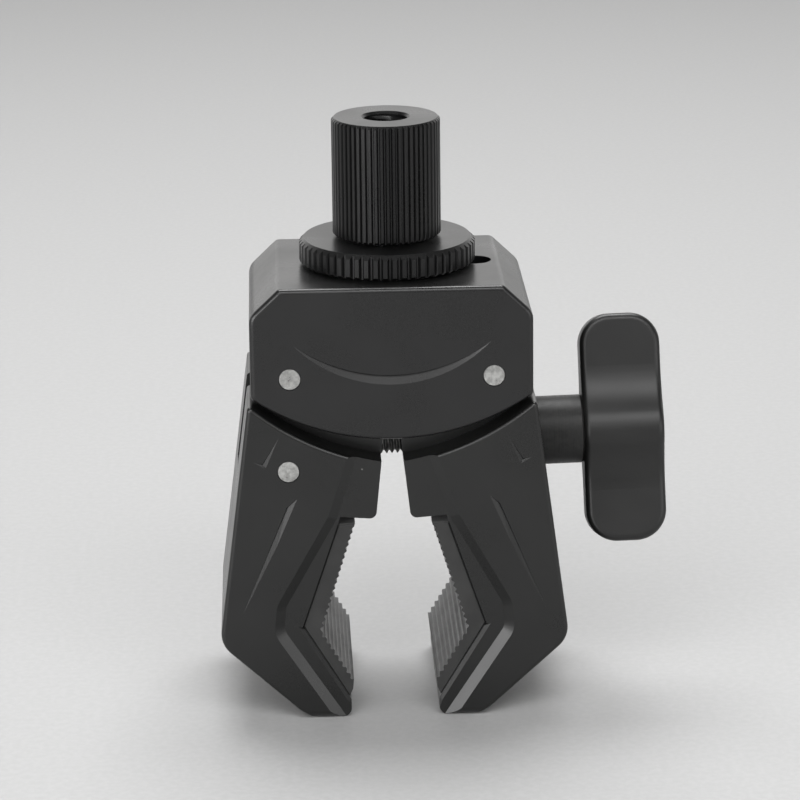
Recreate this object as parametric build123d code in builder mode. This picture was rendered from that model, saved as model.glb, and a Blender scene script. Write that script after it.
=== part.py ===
from build123d import *
from math import sin, cos, tan, radians, degrees, pi, hypot, atan2
import os

# Super clamp: two pivoting jaw arms in a channel-shaped housing, drawn together by a
# hand screw with a T-bar knob, and a 1/4-20 coupling nut with a lock disc on top.
#
# Frame: millimetres, +Z up, the origin on the axis of the mounting stud, where the
# thread of the 1/4-20 socket starts, just below its countersink. X runs across the jaws
# (the knob is on +X), and -Y is the front.
# The profiles are drawn in heights above a datum plane near the jaw vees.

# ------------------------------------------------------------------ driving dimensions
datum_z = -76.865           # z of the height datum (the socket's thread starts at z = 0)

depth = 30.78               # front face to rear face
half_depth = depth / 2

# housing
housing_top = 55.61         # height of the top deck
housing_half_flat = 16.03   # half width of the flat deck
housing_shoulder = 51.61    # height where the corner chamfers meet the sides
housing_half_width = 20.25
housing_side_foot = 39.50   # height where the sides meet the bottom arc
housing_arc_low = 33.10     # lowest point of the bottom arc
housing_edge_r = 0.70
slot_half = 10.90           # half width of the slot between the side plates
slot_ceiling = 48.60
pivot_x = 14.61
pivot_h = 42.41
pin_r = 1.60
pin_ring_r = 1.86           # countersunk ring round each pin end
pin_ring_deep = 1.10
pin_half_len = 15.28
locating_hole_x = 12.80
locating_hole_r = 2.35
locating_hole_deep = 4.0

# arms
arm_arc_r = 38.586          # top arc of the arm
arm_arc_x = -4.797          # its centre, for the arm on +X
arm_arc_h = 67.681
arm_edge_r = 0.60
tongue_half = 10.30
tongue_r = 5.00
web_top = 34.60              # top of the web beside the screw
relief_deep = 0.90          # lug and rim lie this far behind the main panel
relief_slope = 57.0         # slope of the step between them, degrees
pivot_bore_r = 1.65

# jaw pads
pad_half_depth = 14.00
upper_tooth_deep = 0.32
lower_tooth_deep = 0.38
pad_edge = 0.25             # chamfer round the pad's front and rear faces

# clamp screw line
screw_tilt = 1.30           # degrees, rising towards the knob
trunnion_x = -15.04
trunnion_h = 28.60
trunnion_r = 4.50
trunnion_half = 6.00
trunnion_pin_bore = 1.65
screw_r = 2.45
screw_bore_r = 2.52
saddle_x = 18.20            # x of the centre that the saddle washer rocks about
saddle_r = 5.00
saddle_seat_r = 5.30
saddle_half = 5.20
saddle_flat = 1.60          # saddle centre to its flat face
thrust_t = 0.60
collar_r = 5.05
clip_near = 8.30            # saddle centre to the near face of the retaining clip
clip_t = 0.80
clip_r = 4.40
groove_r = 2.00
screw_tail = -6.20          # end of the thread, along the axis from the trunnion
knob_centre_x = 34.41
knob_width = 11.85
knob_length = 33.60
knob_corner_r = 4.55
knob_wing_half = 2.80
knob_hub_r = 5.40
knob_fillet_r = 12.0
knob_edge_r = 0.95
knob_roll = 15.5            # degrees that the bar is turned about the screw
head_af = 8.00
head_t = 3.50

# stud, disc and coupling nut
stud_r = 3.175
stud_thread_r = 3.175       # wall of the 1/4-20 socket
nut_lower_r = 3.34          # bore round the stud
stud_top = 68.00
bolt_head_r = 4.90
bolt_head_t = 3.00
bolt_pocket_r = 5.80
bolt_pocket_top = 52.40
split_washer_t = 0.80
disc_low = 55.97
disc_high = 59.56
disc_r = 12.79
disc_teeth = 58
disc_tooth_deep = 0.45
nut_low = 59.88
nut_high = 77.23
nut_r = 7.87
nut_teeth = 56
nut_tooth_deep = 0.34
socket_mouth_r = 3.54


# ------------------------------------------------------------------ helper planes
def front(y):
    """XZ plane at y, drawn as (x, height above the datum), its normal towards the front."""
    return Plane(origin=(0, y, datum_z), x_dir=(1, 0, 0), z_dir=(0, -1, 0))


def level(h):
    """Horizontal plane at a height above the datum."""
    return Plane.XY.offset(datum_z + h)


tilt = radians(screw_tilt)
axis_dir = (cos(tilt), 0.0, sin(tilt))


def along(s):
    """Plane across the screw axis, s from the trunnion, its normal towards the knob."""
    origin = (trunnion_x + s * cos(tilt), 0.0, datum_z + trunnion_h + s * sin(tilt))
    return Plane(origin=origin, x_dir=(0, 1, 0), z_dir=axis_dir)


saddle_s = (saddle_x - trunnion_x) / cos(tilt)
saddle_h = trunnion_h + saddle_s * sin(tilt)
knob_s = (knob_centre_x - trunnion_x) / cos(tilt)
knob_near = knob_s - knob_width / 2
knob_far = knob_s + knob_width / 2


def arm_top(x):
    """Height of the arm's top arc at x, for the arm on +X."""
    return arm_arc_h - (arm_arc_r**2 - (x - arm_arc_x) ** 2) ** 0.5


def polar(cx, ch, r, deg):
    return (cx + r * cos(radians(deg)), ch + r * sin(radians(deg)))


def gear_ring(teeth, tip_r, deep, crest=0.44, root=0.16):
    """Corner points of a straight-ribbed rim."""
    pts = []
    step = 2 * pi / teeth
    for k in range(teeth):
        a = k * step
        for frac, r in (
            (-crest / 2, tip_r),
            (crest / 2, tip_r),
            (0.5 - root / 2, tip_r - deep),
            (0.5 + root / 2, tip_r - deep),
        ):
            pts.append((r * cos(a + frac * step), r * sin(a + frac * step)))
    return pts


os.makedirs("parts", exist_ok=True)

# ------------------------------------------------------------------ housing
# crescent dish on the front plate: a shallow cone cut by a larger circle above it
crescent_low_r = 19.45
crescent_low_h = 60.85
crescent_up_r = 23.60
crescent_up_h = 66.40
crescent_slope = 0.42
crescent_deep = 0.62
with BuildPart() as crescent:
    with BuildSketch(
        Plane(origin=(0, 0, datum_z + crescent_low_h), x_dir=(1, 0, 0), z_dir=(0, 0, 1))
    ):
        with BuildLine():
            Polyline(
                (0, -half_depth - 0.2),
                (crescent_low_r + 0.2 / crescent_slope, -half_depth - 0.2),
                (crescent_low_r - crescent_deep / crescent_slope, -half_depth + crescent_deep),
                (0, -half_depth + crescent_deep),
                close=True,
            )
        make_face()
    revolve(axis=Axis((0, 0, datum_z + crescent_low_h), (0, 1, 0)), revolution_arc=360)
    with BuildSketch(front(-half_depth + 2.0)):
        with Locations((0, crescent_up_h)):
            Circle(crescent_up_r)
    extrude(amount=4.0, mode=Mode.SUBTRACT)

with BuildPart() as housing:
    with BuildSketch(front(half_depth)) as housing_outline:
        with BuildLine():
            Polyline(
                (-housing_half_width, housing_side_foot),
                (-housing_half_width, housing_shoulder),
                (-housing_half_flat, housing_top),
                (housing_half_flat, housing_top),
                (housing_half_width, housing_shoulder),
                (housing_half_width, housing_side_foot),
            )
            ThreePointArc(
                (housing_half_width, housing_side_foot),
                (0, housing_arc_low),
                (-housing_half_width, housing_side_foot),
            )
        make_face()
        fillet(housing_outline.vertices().group_by(Axis.Y)[-1], radius=1.2)
        fillet(
            [v for v in housing_outline.vertices() if hypot(abs(v.X) - housing_half_width, v.Y - housing_shoulder) < 0.1],
            radius=2.6,
        )
        fillet(
            [v for v in housing_outline.vertices() if hypot(abs(v.X) - housing_half_width, v.Y - housing_side_foot) < 0.1],
            radius=0.8,
        )
    extrude(amount=depth)
    fillet(
        housing.faces().sort_by(Axis.Y)[0].outer_wire().edges()
        + housing.faces().sort_by(Axis.Y)[-1].outer_wire().edges(),
        radius=housing_edge_r,
    )
    # slot for the arms' tongues, open below and at both sides
    with BuildSketch(Plane(origin=(-30, 0, datum_z), x_dir=(0, 1, 0), z_dir=(1, 0, 0))) as slot:
        with BuildLine():
            Polyline(
                (-slot_half, 25.0),
                (-slot_half, slot_ceiling),
                (slot_half, slot_ceiling),
                (slot_half, 25.0),
                close=True,
            )
        make_face()
        fillet(slot.vertices().group_by(Axis.Y)[-1], radius=1.5)
    extrude(amount=60, mode=Mode.SUBTRACT)
    # pocket and hole for the mounting bolt
    with BuildSketch(level(slot_ceiling - 0.5)):
        Circle(bolt_pocket_r)
    extrude(amount=bolt_pocket_top - slot_ceiling + 0.5, mode=Mode.SUBTRACT)
    with BuildSketch(level(slot_ceiling)):
        Circle(stud_r + 0.25)
    extrude(amount=10, mode=Mode.SUBTRACT)
    # blind locating hole beside the lock disc
    with BuildSketch(level(housing_top - locating_hole_deep)):
        with Locations((locating_hole_x, 0.1)):
            Circle(locating_hole_r)
    extrude(amount=6, mode=Mode.SUBTRACT)
    # pivot pin bores with a countersunk ring at each mouth
    with BuildSketch(front(half_depth + 1)):
        with Locations((pivot_x, pivot_h), (-pivot_x, pivot_h)):
            Circle(pin_r)
    extrude(amount=depth + 2, mode=Mode.SUBTRACT)
    with BuildSketch(front(-half_depth + pin_ring_deep)):
        with Locations((pivot_x, pivot_h), (-pivot_x, pivot_h)):
            Circle(pin_ring_r)
    extrude(amount=1, mode=Mode.SUBTRACT)
    with BuildSketch(front(half_depth + 1)):
        with Locations((pivot_x, pivot_h), (-pivot_x, pivot_h)):
            Circle(pin_ring_r)
    extrude(amount=1 + pin_ring_deep, mode=Mode.SUBTRACT)
    # crescent dishes, front and rear
    add(crescent.part, mode=Mode.SUBTRACT)
    mirror(crescent.part, about=Plane.XZ, mode=Mode.SUBTRACT)
housing.part.label = "housing"
export_step(housing.part, "parts/housing.step")

# pivot pins, pressed into the side plates
with BuildPart() as right_pivot_pin:
    with BuildSketch(front(pin_half_len)):
        with Locations((pivot_x, pivot_h)):
            Circle(pin_r)
    extrude(amount=2 * pin_half_len)
    chamfer(right_pivot_pin.edges().filter_by(GeomType.CIRCLE), length=0.10)
right_pivot_pin.part.label = "right_pivot_pin"
export_step(right_pivot_pin.part, "parts/right_pivot_pin.step")

with BuildPart() as left_pivot_pin:
    with BuildSketch(front(pin_half_len)):
        with Locations((-pivot_x, pivot_h)):
            Circle(pin_r)
    extrude(amount=2 * pin_half_len)
    chamfer(left_pivot_pin.edges().filter_by(GeomType.CIRCLE), length=0.10)
left_pivot_pin.part.label = "left_pivot_pin"
export_step(left_pivot_pin.part, "parts/left_pivot_pin.step")

# four shim washers between the tongues and the side plates
shim_t = 0.50
with BuildPart() as pivot_shims:
    with BuildSketch(front(slot_half)):
        with Locations((pivot_x, pivot_h), (-pivot_x, pivot_h)):
            Circle(4.0)
            Circle(pin_r, mode=Mode.SUBTRACT)
    extrude(amount=shim_t)
    with BuildSketch(front(-slot_half + shim_t)):
        with Locations((pivot_x, pivot_h), (-pivot_x, pivot_h)):
            Circle(4.0)
            Circle(pin_r, mode=Mode.SUBTRACT)
    extrude(amount=shim_t)
pivot_shims.part.label = "pivot_shims"
export_step(pivot_shims.part, "parts/pivot_shims.step")

# ------------------------------------------------------------------ arms
lug_top_x = 1.62
lug_foot = (2.52, 20.98)
seat_top = (7.68, 21.38)
seat_vee = (13.40, 4.63)
seat_tip = (6.45, -6.92)
tip_corner = (6.45, -9.42)
toe = (12.58, -9.42)
heel = (25.50, 2.37)
shoulder_x = 20.72
toe_round_r = 1.45          # rounding of the jaw tip's lower edge, front and rear

# relief over the lug and along the rim of the vee, front side
with BuildPart() as relief:
    with BuildSketch(front(-(half_depth - relief_deep))) as relief_floor:
        with BuildLine():
            Polyline(
                (3.90, 34.50),
                (5.32, 30.00),
                (8.20, 21.10),
                (15.75, 7.80),
                (16.10, 4.20),
                (5.56, -11.90),
                (-4.0, -11.90),
                (-4.0, 34.50),
                close=True,
            )
        make_face()
        fillet(
            [v for v in relief_floor.vertices() if v.X > 15.0],
            radius=2.4,
        )
    extrude(amount=relief_deep + 0.5, taper=-relief_slope)

# chamfer along the lower leg of the pad seat's rim, front side
with BuildPart() as seat_bevel:
    with BuildSketch(front(-(half_depth - relief_deep - 0.5))):
        with BuildLine():
            Polyline(
                (seat_vee[0] - 0.25, seat_vee[1] - 0.55),
                seat_tip,
                (5.30, -9.90),
                (-3.0, -9.90),
                (-3.0, seat_vee[1] - 0.55),
                close=True,
            )
        make_face()
    extrude(amount=0.9, taper=-45)

# slender facet on the main panel: a flat pyramid whose apex lies below the surface, close
# to its outer edge, so that its long face looks up and outwards
facet_top = (13.89, 24.48)
facet_out = (15.36, 23.33)
facet_in = (16.99, 17.26)
facet_low = (22.09, 7.04)
facet_apex = (15.29, 23.18)
facet_deep = 0.30


def lifted(p, apex, gain=0.25):
    return (apex[0] + (p[0] - apex[0]) * (1 + gain), apex[1] + (p[1] - apex[1]) * (1 + gain))


def groove_pyramid(points, apex, deep, gain=0.25):
    """Flat pyramid with its base just outside the front face and its apex at depth."""
    base_y = -half_depth - deep * gain
    base = Face(
        Wire.make_polygon(
            [Vector(x, base_y, datum_z + h) for x, h in (lifted(p, apex, gain) for p in points)],
            close=True,
        )
    )
    tip = Vertex(apex[0], -half_depth + deep, datum_z + apex[1])
    return Solid.make_loft([base.outer_wire(), tip], True)


# check-shaped crease near the shoulder, made of two slender pyramids
ticks = [
    groove_pyramid([(16.35, 33.75), (18.82, 29.78), (18.28, 29.32)], (18.72, 29.72), 0.15),
    groove_pyramid([(20.06, 30.15), (18.58, 29.88), (18.42, 29.22)], (18.66, 29.74), 0.15),
]
facets = [groove_pyramid([facet_top, facet_out, facet_low, facet_in], facet_apex, facet_deep)]

with BuildPart() as arm_blank:
    with BuildSketch(front(half_depth)) as arm_outline:
        with BuildLine():
            ThreePointArc(
                (lug_top_x, arm_top(lug_top_x)),
                (12.0, arm_top(12.0)),
                (shoulder_x, arm_top(shoulder_x)),
            )
            Polyline(
                (shoulder_x, arm_top(shoulder_x)),
                heel,
                toe,
                tip_corner,
                seat_tip,
                seat_vee,
                seat_top,
                lug_foot,
                (lug_top_x, arm_top(lug_top_x)),
            )
        make_face()
        fillet([v for v in arm_outline.vertices() if hypot(v.X - heel[0], v.Y - heel[1]) < 0.1], radius=4.0)
        fillet([v for v in arm_outline.vertices() if hypot(v.X - toe[0], v.Y - toe[1]) < 0.1], radius=6.0)
        fillet([v for v in arm_outline.vertices() if hypot(v.X - tip_corner[0], v.Y - tip_corner[1]) < 0.1], radius=1.25)
        fillet([v for v in arm_outline.vertices() if hypot(v.X - lug_foot[0], v.Y - lug_foot[1]) < 0.1], radius=1.0)
        fillet([v for v in arm_outline.vertices() if hypot(v.X - shoulder_x, v.Y - arm_top(shoulder_x)) < 0.1], radius=0.5)
    extrude(amount=depth)
    # round the outer edges of the front and rear faces
    rounded = []
    for face in (arm_blank.faces().sort_by(Axis.Y)[0], arm_blank.faces().sort_by(Axis.Y)[-1]):
        for e in face.outer_wire().edges():
            c = e.center()
            x, h = c.X, c.Z - datum_z
            on_top = e.geom_type == GeomType.CIRCLE and h > 28
            bottom = h < -7.0 and x > 9.0
            if on_top or (x > 14.0) or bottom:
                rounded.append(e)
    fillet(rounded, radius=arm_edge_r)
    # tongue that turns on the pivot pin between the side plates, and the web that runs
    # from it to the lug, beside the screw
    with BuildSketch(front(tongue_half)):
        with Locations((pivot_x, pivot_h)):
            Circle(tongue_r)
        with BuildLine():
            Polyline(
                (9.80, pivot_h),
                (9.80, 31.00),
                (12.50, 31.00),
                (19.50, 36.50),
                (19.45, pivot_h),
                close=True,
            )
        make_face()
        with BuildLine():
            Polyline(
                (lug_top_x + 0.34, 26.20),
                (lug_top_x - 0.62, web_top),
                (10.50, web_top + 1.50),
                (12.50, pivot_h - tongue_r + 0.40),
                (14.00, 31.00),
                (12.00, 26.20),
                close=True,
            )
        make_face()
    extrude(amount=2 * tongue_half)
    with BuildSketch(front(tongue_half + 1)):
        with Locations((pivot_x, pivot_h)):
            Circle(pivot_bore_r)
    extrude(amount=2 * tongue_half + 2, mode=Mode.SUBTRACT)
    # rounding of the jaw tip's lower edge
    for side in (-1, 1):
        with BuildSketch(Plane(origin=(3.0, 0, datum_z + toe[1]), x_dir=(0, 1, 0), z_dir=(1, 0, 0))):
            with BuildLine():
                ThreePointArc(
                    (side * (half_depth + 0.04), toe_round_r + 0.12),
                    (side * (half_depth - toe_round_r * 0.293), toe_round_r * 0.293),
                    (side * (half_depth - toe_round_r - 0.12), -0.04),
                )
                Polyline(
                    (side * (half_depth - toe_round_r - 0.12), -0.04),
                    (side * (half_depth - toe_round_r - 0.12), -2.0),
                    (side * (half_depth + 2.0), -2.0),
                    (side * (half_depth + 2.0), toe_round_r + 0.12),
                    (side * (half_depth + 0.04), toe_round_r + 0.12),
                )
            make_face()
        extrude(amount=14.0, mode=Mode.SUBTRACT)
    # lug and rim relief, pad seat bevel and surface creases, front and rear
    add(relief.part, mode=Mode.SUBTRACT)
    mirror(relief.part, about=Plane.XZ, mode=Mode.SUBTRACT)
    add(seat_bevel.part, mode=Mode.SUBTRACT)
    mirror(seat_bevel.part, about=Plane.XZ, mode=Mode.SUBTRACT)
    for crease in facets + ticks:
        add(crease, mode=Mode.SUBTRACT)
        mirror(crease, about=Plane.XZ, mode=Mode.SUBTRACT)

# how far the screw swings in each arm, as directions from the swing centre (degrees)
right_low, right_high = -15.2, 8.6      # towards the knob, in the right arm
left_low, left_high = -7.6, 21.0        # towards the jaw gap, in the left arm
screw_gap = 2.90                        # half width of the screw channels
tail_slot_half = 3.30

with BuildPart() as right_arm:
    add(arm_blank.part)
    # channel for the screw, from the lug to the seat wall, open above the lug
    with BuildSketch(front(screw_gap)):
        with BuildLine():
            Polyline(
                polar(saddle_x, saddle_h, screw_gap, right_low + 90),
                polar(*polar(saddle_x, saddle_h, screw_gap, right_low + 90), 22, right_low + 180),
                polar(*polar(saddle_x, saddle_h, screw_gap, right_high - 90), 22, right_high + 180),
                polar(saddle_x, saddle_h, screw_gap, right_high - 90),
                close=True,
            )
        make_face()
    extrude(amount=2 * screw_gap, mode=Mode.SUBTRACT)
    # rocking seat for the saddle washer, and the fan that the collar swings in
    with BuildSketch(front(saddle_half + 0.35)):
        with Locations((saddle_x, saddle_h)):
            Circle(saddle_seat_r)
        with BuildLine():
            Polyline(
                polar(saddle_x, saddle_h, saddle_seat_r, right_high + 90),
                polar(*polar(saddle_x, saddle_h, saddle_seat_r + 0.12, right_high + 90), 12, right_high),
                polar(*polar(saddle_x, saddle_h, saddle_seat_r + 0.12, right_low - 90), 12, right_low),
                polar(saddle_x, saddle_h, saddle_seat_r, right_low - 90),
                close=True,
            )
        make_face()
    extrude(amount=2 * (saddle_half + 0.35), mode=Mode.SUBTRACT)
    # chamber for the retaining clip behind the seat wall
    with BuildSketch(front(clip_r + 0.4)):
        with BuildLine():
            Polyline(
                *[polar(saddle_x, saddle_h, clip_near - 0.3, a) for a in range(132, 222, 4)],
                *[polar(saddle_x, saddle_h, clip_near + 2.2, a) for a in range(220, 128, -4)],
                close=True,
            )
        make_face()
    extrude(amount=2 * (clip_r + 0.4), mode=Mode.SUBTRACT)
right_arm.part.label = "right_arm"
export_step(right_arm.part, "parts/right_arm.step")

with BuildPart() as left_arm:
    mirror(arm_blank.part, about=Plane.YZ)
    # pocket for the trunnion nut, open towards the jaw gap, where the nut goes in
    with BuildSketch(front(trunnion_half + 0.3)):
        with Locations((trunnion_x, trunnion_h)):
            Circle(trunnion_r + 0.3)
        with BuildLine():
            Polyline(
                (trunnion_x, trunnion_h + trunnion_r + 0.3),
                (-11.60, trunnion_h + trunnion_r + 0.3),
                (-9.80, 38.0),
                (2.0, 38.0),
                (2.0, trunnion_h - trunnion_r - 0.3),
                (trunnion_x, trunnion_h - trunnion_r - 0.3),
                close=True,
            )
        make_face()
    extrude(amount=2 * (trunnion_half + 0.3), mode=Mode.SUBTRACT)
    # slot in the outer side for the screw's tail, open at the top
    with BuildSketch(front(tail_slot_half)):
        with BuildLine():
            Polyline(
                (-17.00, 25.60),
                (-17.00, 31.60),
                (-19.75, 31.60),
                (-19.75, 46.00),
                (-30.00, 46.00),
                (-30.00, 25.60),
                close=True,
            )
        make_face()
    extrude(amount=2 * tail_slot_half, mode=Mode.SUBTRACT)
    # channel for the screw, from the trunnion to the lug, open above the lug
    with BuildSketch(front(screw_gap)):
        with BuildLine():
            Polyline(
                polar(trunnion_x, trunnion_h, screw_gap, left_high + 90),
                polar(*polar(trunnion_x, trunnion_h, screw_gap, left_high + 90), 18, left_high),
                polar(*polar(trunnion_x, trunnion_h, screw_gap, left_low - 90), 18, left_low),
                polar(trunnion_x, trunnion_h, screw_gap, left_low - 90),
                close=True,
            )
        make_face()
    extrude(amount=2 * screw_gap, mode=Mode.SUBTRACT)
    # bores for the two trunnion pins, with a countersunk ring at each mouth
    with BuildSketch(front(half_depth + 1)):
        with Locations((trunnion_x, trunnion_h)):
            Circle(pin_r)
    extrude(amount=depth + 2, mode=Mode.SUBTRACT)
    with BuildSketch(front(-half_depth + pin_ring_deep)):
        with Locations((trunnion_x, trunnion_h)):
            Circle(pin_ring_r)
    extrude(amount=1, mode=Mode.SUBTRACT)
    with BuildSketch(front(half_depth + 1)):
        with Locations((trunnion_x, trunnion_h)):
            Circle(pin_ring_r)
    extrude(amount=1 + pin_ring_deep, mode=Mode.SUBTRACT)
left_arm.part.label = "left_arm"
export_step(left_arm.part, "parts/left_arm.step")

# ------------------------------------------------------------------ jaw pads
pad_top = 20.11
tooth_top = (5.60, 19.92)
tooth_vee = (10.62, 3.78)
tooth_low = (6.05, -3.78)
upper_teeth = 17
lower_teeth = 8


def teeth(start, end, count, deep, side):
    """Rounded teeth from start to end: their tips on the line, their roots deep behind it."""
    dx, dh = end[0] - start[0], end[1] - start[1]
    n = hypot(dx, dh)
    nx, nh = side * dh / n * deep, -side * dx / n * deep
    pts = []
    for k in range(count):
        for f, d in ((0.0, 0.16), (0.14, 0.0), (0.42, 0.42), (0.64, 0.92), (0.78, 1.0), (0.90, 0.62)):
            t = (k + f) / count
            pts.append((start[0] + dx * t + nx * d, start[1] + dh * t + nh * d))
    return pts


with BuildPart() as right_jaw_pad:
    with BuildSketch(front(pad_half_depth)):
        with BuildLine():
            Polyline(
                (8.07, pad_top),
                (5.56, pad_top),
                *teeth(tooth_top, tooth_vee, upper_teeth, upper_tooth_deep, -1),
                *teeth(tooth_vee, tooth_low, lower_teeth, lower_tooth_deep, -1),
                tooth_low,
                (6.20, -5.28),
                (6.66, -6.40),
                (6.74, -6.44),
                (seat_vee[0] - 0.02, seat_vee[1]),
                close=True,
            )
        make_face()
    extrude(amount=2 * pad_half_depth)
    # chamfer along the top and along the seat, front and rear
    edged = []
    for face in (right_jaw_pad.faces().sort_by(Axis.Y)[0], right_jaw_pad.faces().sort_by(Axis.Y)[-1]):
        for e in face.outer_wire().edges():
            if e.length > 2.3:
                edged.append(e)
    chamfer(edged, length=pad_edge)
right_jaw_pad.part.label = "right_jaw_pad"
export_step(right_jaw_pad.part, "parts/right_jaw_pad.step")

with BuildPart() as left_jaw_pad:
    mirror(right_jaw_pad.part, about=Plane.YZ)
left_jaw_pad.part.label = "left_jaw_pad"
export_step(left_jaw_pad.part, "parts/left_jaw_pad.step")

# ------------------------------------------------------------------ trunnion
with BuildPart() as trunnion_nut:
    with BuildSketch(front(trunnion_half)):
        with Locations((trunnion_x, trunnion_h)):
            Circle(trunnion_r)
            Circle(trunnion_pin_bore, mode=Mode.SUBTRACT)
    extrude(amount=2 * trunnion_half)
    chamfer(
        trunnion_nut.edges().filter_by(GeomType.CIRCLE).filter_by(lambda e: e.radius > 4), length=0.4
    )
    # solid core between the pin bores, with the M5 thread through it
    with BuildSketch(front(3.3)):
        with Locations((trunnion_x, trunnion_h)):
            Circle(trunnion_r)
    extrude(amount=6.6)
    with BuildSketch(along(-8)):
        Circle(screw_bore_r)
    extrude(amount=16, mode=Mode.SUBTRACT)
trunnion_nut.part.label = "trunnion_nut"
export_step(trunnion_nut.part, "parts/trunnion_nut.step")

pin_inner = 3.50
with BuildPart() as front_trunnion_pin:
    with BuildSketch(front(-pin_inner)):
        with Locations((trunnion_x, trunnion_h)):
            Circle(pin_r)
    extrude(amount=pin_half_len - pin_inner)
    chamfer(front_trunnion_pin.edges().filter_by(GeomType.CIRCLE), length=0.10)
front_trunnion_pin.part.label = "front_trunnion_pin"
export_step(front_trunnion_pin.part, "parts/front_trunnion_pin.step")

with BuildPart() as rear_trunnion_pin:
    with BuildSketch(front(pin_half_len)):
        with Locations((trunnion_x, trunnion_h)):
            Circle(pin_r)
    extrude(amount=pin_half_len - pin_inner)
    chamfer(rear_trunnion_pin.edges().filter_by(GeomType.CIRCLE), length=0.10)
rear_trunnion_pin.part.label = "rear_trunnion_pin"
export_step(rear_trunnion_pin.part, "parts/rear_trunnion_pin.step")

# ------------------------------------------------------------------ clamp screw and knob
head_near = knob_far - 1.40 - head_t
clip_far_s = saddle_s - clip_near - clip_t
with BuildPart() as clamp_screw:
    with BuildSketch(along(screw_tail)):
        Circle(screw_r)
    extrude(amount=head_near - screw_tail)
    chamfer(clamp_screw.faces().sort_by(Axis.X)[0].edges(), length=0.45)
    with BuildSketch(along(head_near)):
        RegularPolygon(head_af / 2, 6, major_radius=False)
    extrude(amount=head_t)
    with BuildSketch(along(clip_far_s - 0.02)):
        Circle(screw_r + 1)
        Circle(groove_r, mode=Mode.SUBTRACT)
    extrude(amount=clip_t + 0.04, mode=Mode.SUBTRACT)
clamp_screw.part.label = "clamp_screw"
export_step(clamp_screw.part, "parts/clamp_screw.step")

# retaining clip: an E-clip in the screw's groove, open on one side
with BuildPart() as retaining_clip:
    with BuildSketch(along(clip_far_s)):
        Circle(clip_r)
        Circle(groove_r + 0.75, mode=Mode.SUBTRACT)
        with PolarLocations(groove_r + 0.75, 3, start_angle=-30, angular_range=240):
            Rectangle(1.5, 1.3)
        Circle(groove_r + 0.02, mode=Mode.SUBTRACT)
        with Locations((0, -3.6)):
            Rectangle(2.6, 3.6, mode=Mode.SUBTRACT)
    extrude(amount=clip_t)
retaining_clip.part.label = "retaining_clip"
export_step(retaining_clip.part, "parts/retaining_clip.step")

# saddle washer: rocks about a line across the arm, flat towards the knob
with BuildPart() as saddle_washer:
    with BuildSketch(front(saddle_half)):
        with Locations((saddle_x, saddle_h)):
            Circle(saddle_r)
        with BuildLine():
            Polyline(
                polar(*polar(saddle_x, saddle_h, saddle_flat, screw_tilt), 9, screw_tilt + 90),
                polar(*polar(saddle_x, saddle_h, saddle_flat, screw_tilt), 9, screw_tilt - 90),
                polar(*polar(saddle_x, saddle_h, saddle_flat + 8, screw_tilt), 9, screw_tilt - 90),
                polar(*polar(saddle_x, saddle_h, saddle_flat + 8, screw_tilt), 9, screw_tilt + 90),
                close=True,
            )
        make_face(mode=Mode.SUBTRACT)
    extrude(amount=2 * saddle_half)
    with BuildSketch(along(saddle_s - 8)):
        Circle(screw_bore_r + 0.03)
    extrude(amount=16, mode=Mode.SUBTRACT)
saddle_washer.part.label = "saddle_washer"
export_step(saddle_washer.part, "parts/saddle_washer.step")

with BuildPart() as thrust_washer:
    with BuildSketch(along(saddle_s + saddle_flat)):
        Circle(4.80)
        Circle(screw_bore_r + 0.03, mode=Mode.SUBTRACT)
    extrude(amount=thrust_t - 0.06)
thrust_washer.part.label = "thrust_washer"
export_step(thrust_washer.part, "parts/thrust_washer.step")

collar_near = saddle_s + saddle_flat + thrust_t
with BuildPart() as knob_collar:
    with BuildSketch(along(collar_near)):
        Circle(collar_r)
        Circle(screw_r + 0.03, mode=Mode.SUBTRACT)
    extrude(amount=knob_near - collar_near)
    chamfer(
        knob_collar.edges().filter_by(GeomType.CIRCLE).filter_by(lambda e: e.radius > 4),
        length=0.25,
    )
knob_collar.part.label = "knob_collar"
export_step(knob_collar.part, "parts/knob_collar.step")

# T-bar knob: a hub on the screw axis that blends into two wings
roll = radians(knob_roll)
bar_dir = (-sin(tilt) * cos(roll), sin(roll), cos(tilt) * cos(roll))
knob_origin = (
    trunnion_x + knob_s * cos(tilt),
    0.0,
    datum_z + trunnion_h + knob_s * sin(tilt),
)
near_origin = (
    trunnion_x + knob_near * cos(tilt),
    0.0,
    datum_z + trunnion_h + knob_near * sin(tilt),
)
face_dir = (-sin(tilt) * sin(roll), -cos(roll), cos(tilt) * sin(roll))
blend_c = ((knob_hub_r + knob_fillet_r) ** 2 - (knob_wing_half + knob_fillet_r) ** 2) ** 0.5
hub_f = knob_hub_r / (knob_hub_r + knob_fillet_r)
blend_t = (blend_c * hub_f, (knob_wing_half + knob_fillet_r) * hub_f)
mid_a = (atan2(blend_t[1] - knob_wing_half - knob_fillet_r, blend_t[0] - blend_c) + radians(-90)) / 2
blend_m = (
    blend_c + knob_fillet_r * cos(mid_a),
    knob_wing_half + knob_fillet_r + knob_fillet_r * sin(mid_a),
)
half_len = knob_length / 2
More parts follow.
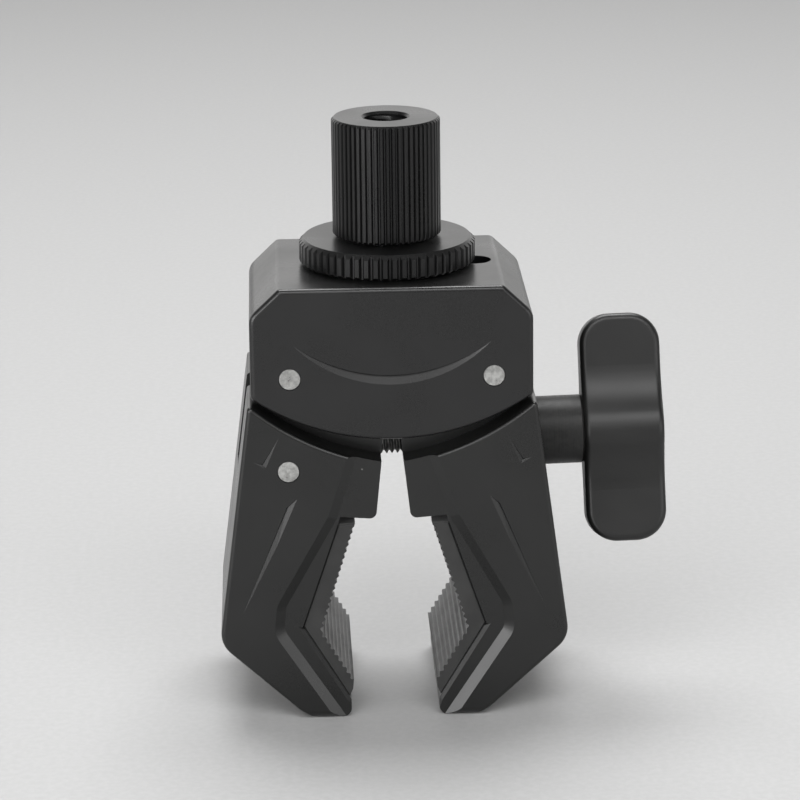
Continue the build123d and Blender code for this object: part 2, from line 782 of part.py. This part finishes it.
with BuildPart() as knob:
    # section across the screw: local x along the bar, local y through its thickness
    with BuildSketch(Plane(origin=near_origin, x_dir=bar_dir, z_dir=axis_dir)) as knob_section:
        with BuildLine():
            ThreePointArc(blend_t, (0, knob_hub_r), (-blend_t[0], blend_t[1]))
            ThreePointArc((-blend_t[0], blend_t[1]), (-blend_m[0], blend_m[1]), (-blend_c, knob_wing_half))
            Polyline(
                (-blend_c, knob_wing_half),
                (-half_len, knob_wing_half),
                (-half_len, -knob_wing_half),
                (-blend_c, -knob_wing_half),
            )
            ThreePointArc((-blend_c, -knob_wing_half), (-blend_m[0], -blend_m[1]), (-blend_t[0], -blend_t[1]))
            ThreePointArc((-blend_t[0], -blend_t[1]), (0, -knob_hub_r), (blend_t[0], -blend_t[1]))
            ThreePointArc((blend_t[0], -blend_t[1]), (blend_m[0], -blend_m[1]), (blend_c, -knob_wing_half))
            Polyline(
                (blend_c, -knob_wing_half),
                (half_len, -knob_wing_half),
                (half_len, knob_wing_half),
                (blend_c, knob_wing_half),
            )
            ThreePointArc((blend_c, knob_wing_half), blend_m, blend_t)
        make_face()
    extrude(amount=knob_width)
    # round the four corners of the bar, seen from its face
    with BuildSketch(Plane(origin=knob_origin, x_dir=axis_dir, z_dir=face_dir)):
        RectangleRounded(knob_width, knob_length, knob_corner_r)
    extrude(amount=10, both=True, mode=Mode.INTERSECT)
    fillet(
        [
            e
            for e in knob.edges()
            if abs((e.center() - Vector(*knob_origin)).dot(Vector(*face_dir))) > knob_wing_half - 0.2
            and (
                abs((e.center() - Vector(*knob_origin)).dot(Vector(*axis_dir))) > knob_width / 2 - 0.05
                or abs((e.center() - Vector(*knob_origin)).dot(Vector(*bar_dir))) > half_len - knob_corner_r
            )
        ],
        radius=knob_edge_r,
    )
    # bore for the screw, hexagon for its head, recess for the cap
    with BuildSketch(along(knob_near - 1)):
        Circle(screw_r + 0.03)
    extrude(amount=knob_width, mode=Mode.SUBTRACT)
    with BuildSketch(along(head_near)):
        RegularPolygon(head_af / 2 + 0.04, 6, major_radius=False)
    extrude(amount=10, mode=Mode.SUBTRACT)
    with BuildSketch(along(knob_far - 1.36)):
        Circle(4.72)
    extrude(amount=4, mode=Mode.SUBTRACT)
knob.part.label = "knob"
export_step(knob.part, "parts/knob.step")

with BuildPart() as knob_cap:
    with BuildSketch(along(knob_far - 1.34)):
        Circle(4.66)
    extrude(amount=1.24)
    chamfer(knob_cap.faces().sort_by(Axis.X)[-1].edges(), length=0.25)
knob_cap.part.label = "knob_cap"
export_step(knob_cap.part, "parts/knob_cap.step")

# ------------------------------------------------------------------ stud, disc and nut
split_top = bolt_pocket_top
head_top = split_top - split_washer_t
with BuildPart() as mount_bolt:
    with BuildSketch(level(head_top - bolt_head_t)):
        Circle(bolt_head_r)
    extrude(amount=bolt_head_t)
    chamfer(mount_bolt.faces().sort_by(Axis.Z)[0].edges(), length=0.3)
    with BuildSketch(level(head_top)):
        Circle(stud_r)
    extrude(amount=stud_top - head_top)
    chamfer(mount_bolt.faces().sort_by(Axis.Z)[-1].edges(), length=0.5)
    with BuildSketch(level(head_top - bolt_head_t)):
        RegularPolygon(2.0, 6, major_radius=False)
    extrude(amount=2.2, mode=Mode.SUBTRACT)
mount_bolt.part.label = "mount_bolt"
export_step(mount_bolt.part, "parts/mount_bolt.step")

with BuildPart() as bolt_spring_washer:
    with BuildSketch(level(head_top)):
        Circle(4.90)
        Circle(stud_r + 0.22, mode=Mode.SUBTRACT)
        with Locations((0, 4.2)):
            Rectangle(0.5, 2.6, rotation=20, mode=Mode.SUBTRACT)
    extrude(amount=split_washer_t)
bolt_spring_washer.part.label = "bolt_spring_washer"
export_step(bolt_spring_washer.part, "parts/bolt_spring_washer.step")

with BuildPart() as disc_washer:
    with BuildSketch(level(housing_top)):
        Circle(9.0)
        Circle(stud_r + 0.22, mode=Mode.SUBTRACT)
    extrude(amount=disc_low - housing_top - 0.06)
disc_washer.part.label = "disc_washer"
export_step(disc_washer.part, "parts/disc_washer.step")

with BuildPart() as lock_disc:
    with BuildSketch(level(disc_low)):
        Polygon(*gear_ring(disc_teeth, disc_r, disc_tooth_deep), align=None)
    extrude(amount=disc_high - disc_low)
    # turned envelope: bevelled rims and the threaded bore
    with BuildSketch(Plane(origin=(0, 0, datum_z), x_dir=(1, 0, 0), z_dir=(0, -1, 0))):
        with BuildLine():
            Polyline(
                (nut_lower_r, disc_low),
                (disc_r - 0.35, disc_low),
                (disc_r + 0.05, disc_low + 0.40),
                (disc_r + 0.05, disc_high - 0.72),
                (disc_r - 0.70, disc_high),
                (nut_lower_r + 0.4, disc_high),
                (nut_lower_r, disc_high - 0.4),
                close=True,
            )
        make_face()
    revolve(axis=Axis.Z, mode=Mode.INTERSECT)
lock_disc.part.label = "lock_disc"
export_step(lock_disc.part, "parts/lock_disc.step")

with BuildPart() as coupling_nut:
    with BuildSketch(level(nut_low)):
        Polygon(*gear_ring(nut_teeth, nut_r, nut_tooth_deep, 0.40, 0.20), align=None)
    extrude(amount=nut_high - nut_low)
    with BuildSketch(Plane(origin=(0, 0, datum_z), x_dir=(1, 0, 0), z_dir=(0, -1, 0))):
        with BuildLine():
            Polyline(
                (nut_lower_r + 0.3, nut_low),
                (nut_r - 0.40, nut_low),
                (nut_r + 0.02, nut_low + 0.42),
                (nut_r + 0.02, nut_high - 0.42),
                (nut_r - 0.40, nut_high),
                (socket_mouth_r, nut_high),
                (stud_thread_r, nut_high - (socket_mouth_r - stud_thread_r)),
                (stud_thread_r, stud_top + 0.3),
                (nut_lower_r, stud_top + 0.3),
                (nut_lower_r, nut_low + 0.3),
                close=True,
            )
        make_face()
    revolve(axis=Axis.Z, mode=Mode.INTERSECT)
coupling_nut.part.label = "coupling_nut"
export_step(coupling_nut.part, "parts/coupling_nut.step")
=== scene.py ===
import math

import bpy
from mathutils import Matrix, Vector


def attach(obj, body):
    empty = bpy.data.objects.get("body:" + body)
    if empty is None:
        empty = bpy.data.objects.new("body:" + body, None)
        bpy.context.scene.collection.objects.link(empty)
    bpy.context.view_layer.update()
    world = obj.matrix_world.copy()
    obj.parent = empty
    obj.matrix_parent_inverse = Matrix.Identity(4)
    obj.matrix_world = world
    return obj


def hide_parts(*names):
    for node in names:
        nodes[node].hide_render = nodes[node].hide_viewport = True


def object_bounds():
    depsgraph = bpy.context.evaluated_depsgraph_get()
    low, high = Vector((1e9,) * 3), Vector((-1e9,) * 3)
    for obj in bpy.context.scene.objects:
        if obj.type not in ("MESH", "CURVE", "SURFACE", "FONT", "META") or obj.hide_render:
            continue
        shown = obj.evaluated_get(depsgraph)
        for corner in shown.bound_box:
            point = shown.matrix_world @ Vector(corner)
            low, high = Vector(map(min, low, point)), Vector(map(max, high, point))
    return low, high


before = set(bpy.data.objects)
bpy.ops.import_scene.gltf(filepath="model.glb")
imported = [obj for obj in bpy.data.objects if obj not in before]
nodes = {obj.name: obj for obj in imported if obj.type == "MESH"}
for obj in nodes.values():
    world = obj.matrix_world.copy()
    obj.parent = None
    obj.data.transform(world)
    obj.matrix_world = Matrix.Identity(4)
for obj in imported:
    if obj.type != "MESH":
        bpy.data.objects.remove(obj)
cad_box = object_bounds()

DATUM = -0.076865           # z of the height datum near the jaw vees
MM = 0.001


# ------------------------------------------------------------------ material helpers
class Mat:
    """A small wrapper for building procedural materials in object space (metres)."""

    def __init__(self, name):
        self.m = bpy.data.materials.new(name)
        self.m.use_nodes = True
        self.nt = self.m.node_tree
        self.bsdf = self.nt.nodes["Principled BSDF"]
        self.coord = self.nt.nodes.new("ShaderNodeTexCoord")

    def new(self, kind, **props):
        n = self.nt.nodes.new(kind)
        for k, v in props.items():
            setattr(n, k, v)
        return n

    def link(self, a, b):
        self.nt.links.new(a, b)

    def mapped(self, scale=(1, 1, 1), rotation=(0, 0, 0), location=(0, 0, 0)):
        n = self.new("ShaderNodeMapping")
        n.inputs["Scale"].default_value = scale
        n.inputs["Rotation"].default_value = rotation
        n.inputs["Location"].default_value = location
        self.link(self.coord.outputs["Object"], n.inputs["Vector"])
        return n.outputs["Vector"]

    def noise(self, scale, detail=3.0, rough=0.5, vector=None, distortion=0.0):
        n = self.new("ShaderNodeTexNoise")
        n.inputs["Scale"].default_value = scale
        n.inputs["Detail"].default_value = detail
        n.inputs["Roughness"].default_value = rough
        n.inputs["Distortion"].default_value = distortion
        self.link(vector if vector is not None else self.coord.outputs["Object"], n.inputs["Vector"])
        return n.outputs["Fac"]

    def ramp(self, fac, lo, hi, a, b, smooth=True):
        """Map fac from lo..hi to a..b, clamped."""
        n = self.new("ShaderNodeMapRange")
        n.interpolation_type = "SMOOTHSTEP" if smooth else "LINEAR"
        n.inputs["From Min"].default_value = lo
        n.inputs["From Max"].default_value = hi
        n.inputs["To Min"].default_value = a
        n.inputs["To Max"].default_value = b
        self.link(fac, n.inputs["Value"])
        return n.outputs["Result"]

    def math(self, op, a, b=None):
        n = self.new("ShaderNodeMath")
        n.operation = op
        for i, v in enumerate((a, b)):
            if v is None:
                continue
            if isinstance(v, (int, float)):
                n.inputs[i].default_value = v
            else:
                self.link(v, n.inputs[i])
        return n.outputs[0]

    def mix(self, fac, a, b):
        n = self.new("ShaderNodeMix")
        n.data_type = "RGBA"
        n.inputs["Factor"].default_value = 0.5
        if isinstance(fac, (int, float)):
            n.inputs["Factor"].default_value = fac
        else:
            self.link(fac, n.inputs["Factor"])
        for sock, v in ((n.inputs[6], a), (n.inputs[7], b)):
            if isinstance(v, tuple):
                sock.default_value = (*v, 1.0)
            else:
                self.link(v, sock)
        return n.outputs[2]

    def bump(self, height, strength, distance, normal=None):
        n = self.new("ShaderNodeBump")
        n.inputs["Strength"].default_value = strength
        n.inputs["Distance"].default_value = distance
        self.link(height, n.inputs["Height"])
        if normal is not None:
            self.link(normal, n.inputs["Normal"])
        return n.outputs["Normal"]

    def specks(self, cell, size, keep):
        """Sparse round specks: about one cell in 1/keep holds one, cell and size in metres."""
        v = self.new("ShaderNodeTexVoronoi")
        v.feature = "F1"
        v.inputs["Scale"].default_value = 1.0 / cell
        self.link(self.coord.outputs["Object"], v.inputs["Vector"])
        near = self.ramp(v.outputs["Distance"], 0.5 * size / cell, size / cell, 1.0, 0.0)
        sep = self.new("ShaderNodeSeparateColor")
        self.link(v.outputs["Color"], sep.inputs["Color"])
        chosen = self.math("GREATER_THAN", sep.outputs[0], 1.0 - keep)
        return self.math("MULTIPLY", near, chosen)


def satin_black(name, base, rough, grain=0.00012, grain_strength=0.10, specks=0.5):
    """Satin black anodised or painted metal with a fine even grain."""
    k = Mat(name)
    cloud = k.noise(90, 4, 0.55)
    fine = k.noise(1.0 / grain, 2, 0.5)
    tone = k.mix(
        k.ramp(cloud, 0.3, 0.7, 0.0, 1.0),
        tuple(c * 0.88 for c in base),
        tuple(c * 1.14 for c in base),
    )
    dust = k.specks(0.0042, 0.00016, 0.22)
    tone = k.mix(k.math("MULTIPLY", dust, specks), tone, (0.22, 0.22, 0.21))
    k.link(tone, k.bsdf.inputs["Base Color"])
    r = k.math("ADD", k.ramp(cloud, 0.25, 0.75, rough - 0.035, rough + 0.035), k.ramp(fine, 0.3, 0.7, -0.02, 0.02))
    r = k.math("ADD", r, k.math("MULTIPLY", dust, 0.25))
    k.link(r, k.bsdf.inputs["Roughness"])
    n1 = k.bump(fine, grain_strength, 0.00002)
    k.link(n1, k.bsdf.inputs["Normal"])
    return k


# ------------------------------------------------------------------ materials
housing_black = satin_black("housing_satin_black", (0.0064, 0.0064, 0.0065), 0.30)
arm_black = satin_black("arm_satin_black", (0.0060, 0.0061, 0.0059), 0.31)
knurl_black = satin_black("knurl_satin_black", (0.0034, 0.0034, 0.0035), 0.30, specks=0.7)
knurl_black.bsdf.inputs["IOR"].default_value = 1.40

# ribbed rubber: soft, dull, a little paler, with moulding grain and a faint dusty film
rubber = Mat("pad_ribbed_rubber")
film = rubber.noise(260, 5, 0.6)
tone = rubber.mix(rubber.ramp(film, 0.35, 0.7, 0.0, 1.0), (0.012, 0.012, 0.0118), (0.019, 0.019, 0.0185))
rubber.link(tone, rubber.bsdf.inputs["Base Color"])
rubber.link(rubber.ramp(film, 0.3, 0.7, 0.40, 0.52), rubber.bsdf.inputs["Roughness"])
rubber.link(rubber.bump(rubber.noise(5200, 3, 0.6), 0.35, 0.00003), rubber.bsdf.inputs["Normal"])
rubber.bsdf.inputs["Sheen Weight"].default_value = 0.16
rubber.bsdf.inputs["Sheen Roughness"].default_value = 0.5

# satin moulded nylon for the knob: spark-eroded grain, faint flow variation
knob_plastic = Mat("knob_satin_nylon")
flow = knob_plastic.noise(70, 3, 0.5, distortion=0.4)
tone = knob_plastic.mix(knob_plastic.ramp(flow, 0.3, 0.7, 0.0, 1.0), (0.0042, 0.0042, 0.0041), (0.0064, 0.0064, 0.0062))
dust = knob_plastic.specks(0.0050, 0.00017, 0.20)
tone = knob_plastic.mix(knob_plastic.math("MULTIPLY", dust, 0.6), tone, (0.25, 0.25, 0.24))
knob_plastic.link(tone, knob_plastic.bsdf.inputs["Base Color"])
knob_plastic.link(knob_plastic.ramp(flow, 0.25, 0.75, 0.36, 0.43), knob_plastic.bsdf.inputs["Roughness"])
vor = knob_plastic.new("ShaderNodeTexVoronoi")
vor.inputs["Scale"].default_value = 3800
knob_plastic.link(knob_plastic.coord.outputs["Object"], vor.inputs["Vector"])
knob_plastic.link(knob_plastic.bump(vor.outputs["Distance"], 0.16, 0.00002), knob_plastic.bsdf.inputs["Normal"])


def steel(name, lo, hi, rough_lo, rough_hi, scratch=0.5, lathe=None, ring_pitch=0.00012):
    """Bare or blackened steel. lathe is the axis of its turning marks ("X", "Y" or "Z")."""
    k = Mat(name)
    mottle = k.noise(1400, 4, 0.6)
    tone = k.mix(k.ramp(mottle, 0.3, 0.72, 0.0, 1.0), lo, hi)
    rough = k.ramp(mottle, 0.25, 0.75, rough_lo, rough_hi)
    height = mottle
    if lathe:
        stretch = {"X": (1.0 / ring_pitch, 40, 40), "Y": (40, 1.0 / ring_pitch, 40), "Z": (40, 40, 1.0 / ring_pitch)}[lathe]
        rings = k.noise(1.0, 2, 0.5, vector=k.mapped(scale=stretch))
        tone = k.mix(k.ramp(rings, 0.35, 0.65, 0.0, 0.35), tone, tuple(min(1.0, c * 1.5) for c in hi))
        rough = k.math("ADD", rough, k.ramp(rings, 0.3, 0.7, -0.05, 0.07))
        height = rings
    normal = k.bump(height, 0.25, 0.00001)
    if scratch:
        for i, ang in enumerate((0.5, 1.3, 2.2)):
            v = k.mapped(scale=(9000, 260, 260) if i != 1 else (300, 300, 8000), rotation=(0.3 * i, ang, 0.2), location=(0.013 * i, 0, 0.007))
            s = k.noise(1.0, 2, 0.5, vector=v)
            line = k.ramp(s, 0.66, 0.74, 0.0, 1.0)
            tone = k.mix(k.math("MULTIPLY", line, scratch), tone, tuple(c * 0.32 for c in lo))
            normal = k.bump(line, 0.25, 0.00001, normal)
    k.link(tone, k.bsdf.inputs["Base Color"])
    k.link(rough, k.bsdf.inputs["Roughness"])
    k.link(normal, k.bsdf.inputs["Normal"])
    k.bsdf.inputs["Metallic"].default_value = 1.0
    return k


pin_steel = steel("pin_bright_steel", (0.34, 0.34, 0.33), (0.56, 0.56, 0.545), 0.26, 0.44, scratch=0.45)
screw_steel = steel("screw_blackened_steel", (0.16, 0.16, 0.155), (0.30, 0.30, 0.29), 0.28, 0.42, scratch=0.0)
collar_steel = steel("collar_dark_turned_steel", (0.0120, 0.0120, 0.0118), (0.0220, 0.0220, 0.0215), 0.38, 0.48, scratch=0.0, lathe="X")
collar_steel.bsdf.inputs["Metallic"].default_value = 0.0
collar_steel.bsdf.inputs["IOR"].default_value = 1.32
washer_steel = steel("washer_zinc_plate", (0.38, 0.39, 0.40), (0.52, 0.53, 0.54), 0.30, 0.42, scratch=0.0)

nylon = Mat("shim_natural_nylon")
n = nylon.noise(500, 3, 0.5)
nylon.link(nylon.mix(nylon.ramp(n, 0.3, 0.7, 0.0, 1.0), (0.44, 0.43, 0.39), (0.55, 0.54, 0.50)), nylon.bsdf.inputs["Base Color"])
nylon.link(nylon.ramp(n, 0.3, 0.7, 0.42, 0.52), nylon.bsdf.inputs["Roughness"])
nylon.bsdf.inputs["Subsurface Weight"].default_value = 0.05

use = {
    "housing": housing_black,
    "right_arm": arm_black,
    "left_arm": arm_black,
    "lock_disc": knurl_black,
    "coupling_nut": knurl_black,
    "right_jaw_pad": rubber,
    "left_jaw_pad": rubber,
    "knob": knob_plastic,
    "knob_cap": knob_plastic,
    "right_pivot_pin": pin_steel,
    "left_pivot_pin": pin_steel,
    "front_trunnion_pin": pin_steel,
    "rear_trunnion_pin": pin_steel,
    "trunnion_nut": screw_steel,
    "clamp_screw": screw_steel,
    "knob_collar": collar_steel,
    "saddle_washer": washer_steel,
    "thrust_washer": washer_steel,
    "retaining_clip": washer_steel,
    "mount_bolt": washer_steel,
    "bolt_spring_washer": washer_steel,
    "pivot_shims": nylon,
    "disc_washer": nylon,
}
for name, obj in nodes.items():
    k = use[name]
    if not obj.material_slots:
        obj.data.materials.append(k.m)
    for slot in obj.material_slots:
        slot.material = k.m


# ------------------------------------------------------------------ threads
def make_piece(name, verts, faces, mat, body, smooth_angle=32.0):
    me = bpy.data.meshes.new(name)
    me.from_pydata([tuple(v) for v in verts], [], faces)
    me.validate()
    me.update()
    ob = bpy.data.objects.new(name, me)
    bpy.context.scene.collection.objects.link(ob)
    me.materials.append(mat.m)
    me.shade_smooth()
    me.set_sharp_from_angle(angle=math.radians(smooth_angle))
    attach(ob, body)
    return ob


def thread_profile(phase, crest=0.14, root=0.20):
    """0 at the root and 1 at the crest of a 60 degree thread, phase 0..1 along one pitch."""
    phase = phase % 1.0
    d = abs(phase - 0.5) * 2.0          # 1 at phase 0 (root), 0 at phase 0.5 (crest)
    lo, hi = crest, 1.0 - root
    if d <= lo:
        return 1.0
    if d >= hi:
        return 0.0
    return 1.0 - (d - lo) / (hi - lo)


def revolved(name, stations, radius_at, around, origin, axis, x_dir, mat, body, smooth_angle=32.0):
    """Closed solid from rings: radius_at(station, angle) at each station along the axis."""
    axis = Vector(axis).normalized()
    x_dir = Vector(x_dir).normalized()
    y_dir = axis.cross(x_dir)
    verts, faces = [], []
    for s in stations:
        for i in range(around):
            a = 2 * math.pi * i / around
            r = radius_at(s, a)
            verts.append(Vector(origin) + axis * s[0] + (x_dir * math.cos(a) + y_dir * math.sin(a)) * r)
    n = len(stations)
    for j in range(n - 1):
        for i in range(around):
            k = (i + 1) % around
            faces.append((j * around + i, j * around + k, (j + 1) * around + k, (j + 1) * around + i))
    for j, flip in ((0, True), (n - 1, False)):
        centre = len(verts)
        verts.append(Vector(origin) + axis * stations[j][0])
        for i in range(around):
            k = (i + 1) % around
            a, b = j * around + i, j * around + k
            faces.append((centre, b, a) if flip else (centre, a, b))
    return make_piece(name, verts, faces, mat, body, smooth_angle)


# clamp screw: M5 x 0.8, threaded from its tail to the saddle, then a plain shank and a
# hexagon head under the knob's cap
TILT = math.radians(1.30)
AXIS = (math.cos(TILT), 0.0, math.sin(TILT))
TRUNNION = (-15.04 * MM, 0.0, DATUM + 28.60 * MM)
SADDLE_S = (18.20 + 15.04) / math.cos(TILT)
KNOB_FAR = (34.41 + 15.04) / math.cos(TILT) + 11.85 / 2
HEAD_NEAR = KNOB_FAR - 1.40 - 3.5
TAIL = -6.20
THREAD_END = 21.2
PITCH = 0.8
R_CREST, R_ROOT = 2.45, 1.99
CLIP_FAR = SADDLE_S - 8.30 - 0.80

stations = [(TAIL, "thread")]
s = TAIL
step = PITCH / 12
while s < THREAD_END - 1e-6:
    s = min(THREAD_END, s + step)
    stations.append((s, "thread"))
stations += [(THREAD_END + 0.25, "plain"), (CLIP_FAR - 0.02, "plain"), (CLIP_FAR - 0.02, "groove"), (CLIP_FAR + 0.82, "groove"), (CLIP_FAR + 0.82, "plain")]
stations += [(HEAD_NEAR - 0.02, "plain"), (HEAD_NEAR - 0.02, "hex_low"), (HEAD_NEAR + 0.4, "hex"), (HEAD_NEAR + 3.1, "hex"), (HEAD_NEAR + 3.5, "hex_low")]


def screw_radius(station, a):
    s, kind = station
    if kind == "plain":
        return R_CREST * MM
    if kind == "groove":
        return 2.0 * MM
    if kind in ("hex", "hex_low"):
        off = (a + math.pi / 6) % (math.pi / 3) - math.pi / 6
        r = 3.98 / math.cos(off)
        return min(r, 4.02) * MM if kind == "hex_low" else r * MM
    t = thread_profile(s / PITCH - a / (2 * math.pi))
    r = R_ROOT + (R_CREST - R_ROOT) * t
    r = min(r, 1.78 + (s - TAIL) * 0.9)
    fade = min(1.0, max(0.0, (s - (THREAD_END - 0.9)) / 0.9))
    return (r + (R_CREST - r) * fade) * MM


screw = revolved(
    "m5_clamp_screw",
    [(st[0] * MM, st) for st in stations],
    lambda st, a: screw_radius(st[1], a),
    72,
    TRUNNION,
    AXIS,
    (0, 1, 0),
    screw_steel,
    "clamp_screw",
)
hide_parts("clamp_screw")

# internal thread of the 1/4-20 socket: a ridge wound up the wall of the bore
PITCH_20 = 25.4 / 20 * MM
WALL, CREST = 3.182 * MM, 2.62 * MM
Z0, Z1 = -8.10 * MM, -0.06 * MM
turns = (Z1 - Z0 - 0.95 * PITCH_20) / PITCH_20
seg = 56
count = int(turns * seg)
verts, faces = [], []
for i in range(count + 1):
    a = 2 * math.pi * i / seg
    zc = Z0 + 0.475 * PITCH_20 + i / seg * PITCH_20
    fade = min(1.0, i / (seg * 0.35), (count - i) / (seg * 0.35))
    crest_r = WALL - (WALL - CREST) * (0.06 + 0.94 * fade)
    half_base, half_crest = 0.43 * PITCH_20, 0.075 * PITCH_20
    for r, dz in ((WALL, -half_base), (crest_r, -half_crest), (crest_r, half_crest), (WALL, half_base)):
        verts.append((r * math.cos(a), r * math.sin(a), zc + dz))
for i in range(count):
    for j in range(4):
        k = (j + 1) % 4
        faces.append((i * 4 + j, (i + 1) * 4 + j, (i + 1) * 4 + k, i * 4 + k))
faces.append((0, 1, 2, 3))
faces.append((count * 4 + 3, count * 4 + 2, count * 4 + 1, count * 4))
make_piece("socket_thread", verts, faces, knurl_black, "coupling_nut")

# ------------------------------------------------------------------ floor, light and camera
low = cad_box[0]
floor_z = low[2] - 0.00002
bpy.ops.mesh.primitive_plane_add(size=8.0, location=(0, 0, floor_z))
floor = bpy.context.object
floor.name = "floor"
fl = Mat("floor_pale")
speckle = fl.noise(900, 3, 0.6)
fl.link(fl.mix(fl.ramp(speckle, 0.3, 0.7, 0.0, 1.0), (0.41, 0.41, 0.41), (0.45, 0.45, 0.45)), fl.bsdf.inputs["Base Color"])
fl.link(fl.ramp(speckle, 0.3, 0.7, 0.55, 0.7), fl.bsdf.inputs["Roughness"])
floor.data.materials.append(fl.m)

scene = bpy.context.scene
world = bpy.data.worlds.new("studio")
scene.world = world
world.use_nodes = True
wt = world.node_tree
bg = wt.nodes["Background"]
tc = wt.nodes.new("ShaderNodeTexCoord")
sep = wt.nodes.new("ShaderNodeSeparateXYZ")
wt.links.new(tc.outputs["Generated"], sep.inputs["Vector"])


def wmap(sock, lo, hi, a, b):
    n = wt.nodes.new("ShaderNodeMapRange")
    n.interpolation_type = "SMOOTHSTEP"
    for key, v in (("From Min", lo), ("From Max", hi), ("To Min", a), ("To Max", b)):
        n.inputs[key].default_value = v
    wt.links.new(sock, n.inputs["Value"])
    return n.outputs["Result"]


def wmath(op, a, b):
    n = wt.nodes.new("ShaderNodeMath")
    n.operation = op
    for i, v in enumerate((a, b)):
        if isinstance(v, (int, float)):
            n.inputs[i].default_value = v
        else:
            wt.links.new(v, n.inputs[i])
    return n.outputs[0]


behind = wmap(sep.outputs["Y"], 0.0, 0.7, 0.0, 1.0)
low_band = wmap(sep.outputs["Z"], 0.30, 0.72, 1.0, 0.0)
glow = wmath("MULTIPLY", wmath("MULTIPLY", behind, low_band), 1.05)
base_level = wmap(sep.outputs["Z"], 0.1, 0.8, 0.22, 0.10)
strength = wmath("ADD", base_level, glow)
wt.links.new(strength, bg.inputs["Strength"])
bg.inputs["Color"].default_value = (1.0, 0.995, 0.985, 1.0)

aim = Vector((0.0, 0.0, DATUM + 0.032))


def area(name, direction, dist, size_x, size_y, radiance, color=(1, 1, 1)):
    d = Vector(direction).normalized()
    li = bpy.data.lights.new(name, "AREA")
    li.shape = "RECTANGLE"
    li.size, li.size_y = size_x, size_y
    li.energy = radiance * math.pi * size_x * size_y
    li.color = color
    ob = bpy.data.objects.new(name, li)
    scene.collection.objects.link(ob)
    ob.location = aim + d * dist
    ob.rotation_euler = d.to_track_quat("Z", "Y").to_euler()
    return ob


def heading(az, el):
    """Direction from the object: azimuth 0 is the front (-Y), 90 the right (+X)."""
    a, e = math.radians(az), math.radians(el)
    return (math.sin(a) * math.cos(e), -math.cos(a) * math.cos(e), math.sin(e))


area("top_soft", heading(180, 68), 0.75, 0.55, 0.40, 8.8)
area("front_low", heading(2, 26), 0.80, 0.74, 0.24, 1.2)
area("front_high", heading(2, 48), 0.80, 1.00, 0.26, 5.1)
area("left_soft", heading(-46, 9), 0.80, 0.80, 0.30, 6.0)
area("right_soft", heading(50, 9), 0.80, 0.75, 0.30, 2.0)

cam_data = bpy.data.cameras.new("camera")
cam = bpy.data.objects.new("camera", cam_data)
scene.collection.objects.link(cam)
cam_data.sensor_width = 36.0
cam_data.lens = 3657.3 / 800 * 36.0
cam_data.clip_start = 0.02
cam_data.clip_end = 20.0
az, el, roll = math.radians(-2.026), math.radians(16.445), math.radians(-0.649)
back = Vector((math.sin(az) * math.cos(el), -math.cos(az) * math.cos(el), math.sin(el)))
right = Vector((math.cos(az), math.sin(az), 0.0))
up = back.cross(right)
r2 = right * math.cos(roll) + up * math.sin(roll)
u2 = -right * math.sin(roll) + up * math.cos(roll)
target = Vector((1.644 * MM, 0.0, DATUM + 34.531 * MM))
loc = target + back * 538.78 * MM
cam.matrix_world = Matrix(
    ((r2.x, u2.x, back.x, loc.x), (r2.y, u2.y, back.y, loc.y), (r2.z, u2.z, back.z, loc.z), (0, 0, 0, 1))
)
scene.camera = cam
scene.view_settings.view_transform = "Standard"
scene.view_settings.look = "None"
